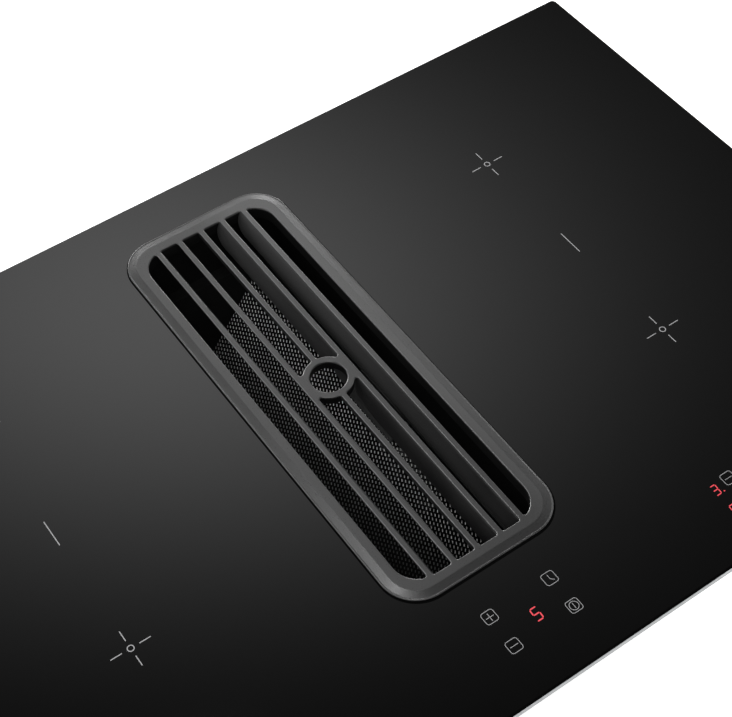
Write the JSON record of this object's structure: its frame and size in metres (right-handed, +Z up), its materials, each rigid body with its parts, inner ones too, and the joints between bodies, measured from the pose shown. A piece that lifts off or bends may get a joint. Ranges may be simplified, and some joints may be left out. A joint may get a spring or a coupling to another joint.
{
  "type": "downdraft induction cooktop",
  "caption": "Built-in black glass induction hob with a central lift-out air grille, V-shaped grease filter, drip tray, and an extractor fan with flat duct outlet below.",
  "frame": {"origin": "on the surface the unit stands on, under the middle of the glass", "axes": "+X to the right along the glass, +Y from the front controls to the back, +Z up"},
  "size_m": [0.8, 0.52, 0.2159],
  "materials": {
    "glass_black": "polished black glass-ceramic",
    "grille_black": "matt black enamel",
    "filter_black": "matt black paint",
    "filter_net": "expanded mesh",
    "galvanised": "galvanised sheet",
    "plastic_black": "moulded, fine texture",
    "plastic_grey": "moulded, fine texture",
    "foam": "closed-cell foam",
    "rubber_black": "matt",
    "winding": "enamelled copper litz",
    "mica": "matt insulation sheet",
    "bare_aluminium": "mill finish",
    "circuit_green": "solder resist"
  },
  "bodies": {
    "unit": {"glass_top": "glass_black", "rim_seal": "foam", "well_seal": "rubber_black", "air_well": "plastic_black", "casing": "galvanised", "control_board": "circuit_green", "control_carrier": "plastic_black", "terminal_box": "plastic_grey", "terminal_box_cover": "plastic_grey", "cable_gland": "plastic_black", "fan_housing_inlet_half": "plastic_grey", "fan_housing_motor_half": "plastic_grey", "outlet_adapter": "plastic_grey", "motor_bracket": "galvanised", "fan_motor": "galvanised", "fan_driver_box": "plastic_black", "coil_front_left": "winding", "coil_carrier_front_left": "bare_aluminium", "zone_sensor_front_left": "plastic_black", "clip_front_left": "galvanised", "clip_screw_front_left": "galvanised", "coil_rear_left": "winding", "coil_carrier_rear_left": "bare_aluminium", "zone_sensor_rear_left": "plastic_black", "clip_rear_left": "galvanised", "clip_screw_rear_left": "galvanised", "coil_front_right": "winding", "coil_carrier_front_right": "bare_aluminium", "zone_sensor_front_right": "plastic_black", "clip_front_right": "galvanised", "clip_screw_front_right": "galvanised", "coil_rear_right": "winding", "coil_carrier_rear_right": "bare_aluminium", "zone_sensor_rear_right": "plastic_black", "clip_rear_right": "galvanised", "clip_screw_rear_right": "galvanised", "insulation_sheet_left": "mica", "power_board_left": "circuit_green", "heat_sink_left": "bare_aluminium", "cooling_fan_frame_left": "plastic_black", "insulation_sheet_right": "mica", "power_board_right": "circuit_green", "heat_sink_right": "bare_aluminium", "cooling_fan_frame_right": "plastic_black"},
    "grille": {"grille": "grille_black", "grille_pad_front_left": "rubber_black", "grille_pad_rear_left": "rubber_black", "grille_pad_front_right": "rubber_black", "grille_pad_rear_right": "rubber_black", "grille_pad_front_end": "rubber_black", "grille_pad_rear_end": "rubber_black"},
    "filter": {"filter_frame": "filter_black", "filter_mesh_left": "filter_net", "filter_mesh_right": "filter_net"},
    "drip_tray": {"drip_tray": "plastic_grey"},
    "impeller": {"impeller": "plastic_black", "impeller_shaft": "galvanised"},
    "cooling_rotor_left": {"cooling_fan_rotor_left": "plastic_black"},
    "cooling_rotor_right": {"cooling_fan_rotor_right": "plastic_black"}
  },
  "joints": [
    {"name": "grille_lift", "type": "slide", "parent": "unit", "child": "grille", "axis": [0, 0, 1], "range_m": [0, 0.26]},
    {"name": "filter_lift", "type": "slide", "parent": "unit", "child": "filter", "axis": [0, 0, 1], "range_m": [0, 0.215]},
    {"name": "drip_tray_lift", "type": "slide", "parent": "unit", "child": "drip_tray", "axis": [0, 0, 1], "range_m": [0, 0.212]},
    {"name": "impeller_spin", "type": "hinge", "parent": "unit", "child": "impeller", "pos_m": [0.098, 0.02, 0.0775], "axis": [1, 0, 0], "continuous": true},
    {"name": "cooling_rotor_left_spin", "type": "hinge", "parent": "unit", "child": "cooling_rotor_left", "pos_m": [-0.2275, -0.196, 0.16131], "axis": [0, 0, 1], "continuous": true},
    {"name": "cooling_rotor_right_spin", "type": "hinge", "parent": "unit", "child": "cooling_rotor_right", "pos_m": [0.2275, -0.196, 0.16131], "axis": [0, 0, 1], "continuous": true}
  ],
  "couplings": [
    {"joint": "filter_lift", "follows": "grille_lift", "ratio": 0.82692},
    {"joint": "drip_tray_lift", "follows": "grille_lift", "ratio": 0.81538}
  ]
}
